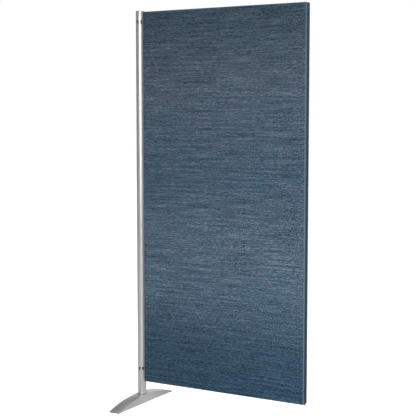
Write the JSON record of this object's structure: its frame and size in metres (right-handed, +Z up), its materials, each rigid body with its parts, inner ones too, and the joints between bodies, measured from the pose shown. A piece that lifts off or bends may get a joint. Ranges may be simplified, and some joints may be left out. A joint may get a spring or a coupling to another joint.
{
  "type": "partition wall bay",
  "caption": "Add-on bay of a partition wall: a fabric-covered panel that hangs by studs in keyholes on a round post with an arched foot.",
  "frame": {"origin": "on the floor, on the post's axis, midway between the foot's two tips", "axes": "+Z up along the post; +X from the post along the panel to its free end; -Y the front, +Y the back, along the foot"},
  "size_m": [0.838, 0.44, 1.75],
  "materials": {
    "silver_paint": "satin",
    "silver_cap": "satin",
    "zinc_steel": "satin",
    "mill_aluminium": "satin",
    "black_nylon": "matte",
    "black_rubber": "matte",
    "navy_plastic": "matte",
    "soft_board": "matte",
    "honeycomb_core": "matte",
    "blue_melange_fabric": "matte"
  },
  "bodies": {
    "post_and_foot": {"foot_arch": "silver_paint", "foot_web_left": "silver_paint", "foot_web_right": "silver_paint", "foot_saddle_block": "zinc_steel", "foot_glide_front": "black_nylon", "foot_glide_back": "black_nylon", "foot_bolt": "zinc_steel", "foot_bolt_washer": "zinc_steel", "post_tube": "silver_paint", "post_top_cap": "silver_cap", "post_base_insert": "zinc_steel", "post_base_gasket": "black_rubber"},
    "panel": {"frame_stile_left": "mill_aluminium", "frame_stile_right": "mill_aluminium", "stile_plugs_left": "black_nylon", "stile_plugs_right": "black_nylon", "frame_rail_bottom": "mill_aluminium", "frame_rail_middle": "mill_aluminium", "frame_rail_top": "mill_aluminium", "rail_end_blocks": "black_nylon", "frame_screws": "zinc_steel", "hook_stud_lower": "zinc_steel", "hook_stud_upper": "zinc_steel", "stud_rivet_nuts": "zinc_steel", "board_front": "soft_board", "board_back": "soft_board", "fabric_front": "blue_melange_fabric", "fabric_back": "blue_melange_fabric", "board_clips_front": "black_nylon", "board_clips_back": "black_nylon", "core_pad_lower": "honeycomb_core", "core_pad_upper": "honeycomb_core", "edge_strip": "navy_plastic"}
  },
  "joints": [
    {"name": "panel_lift", "type": "slide", "parent": "post_and_foot", "child": "panel", "axis": [0, 0, 1], "range_m": [0, 0.009]}
  ]
}
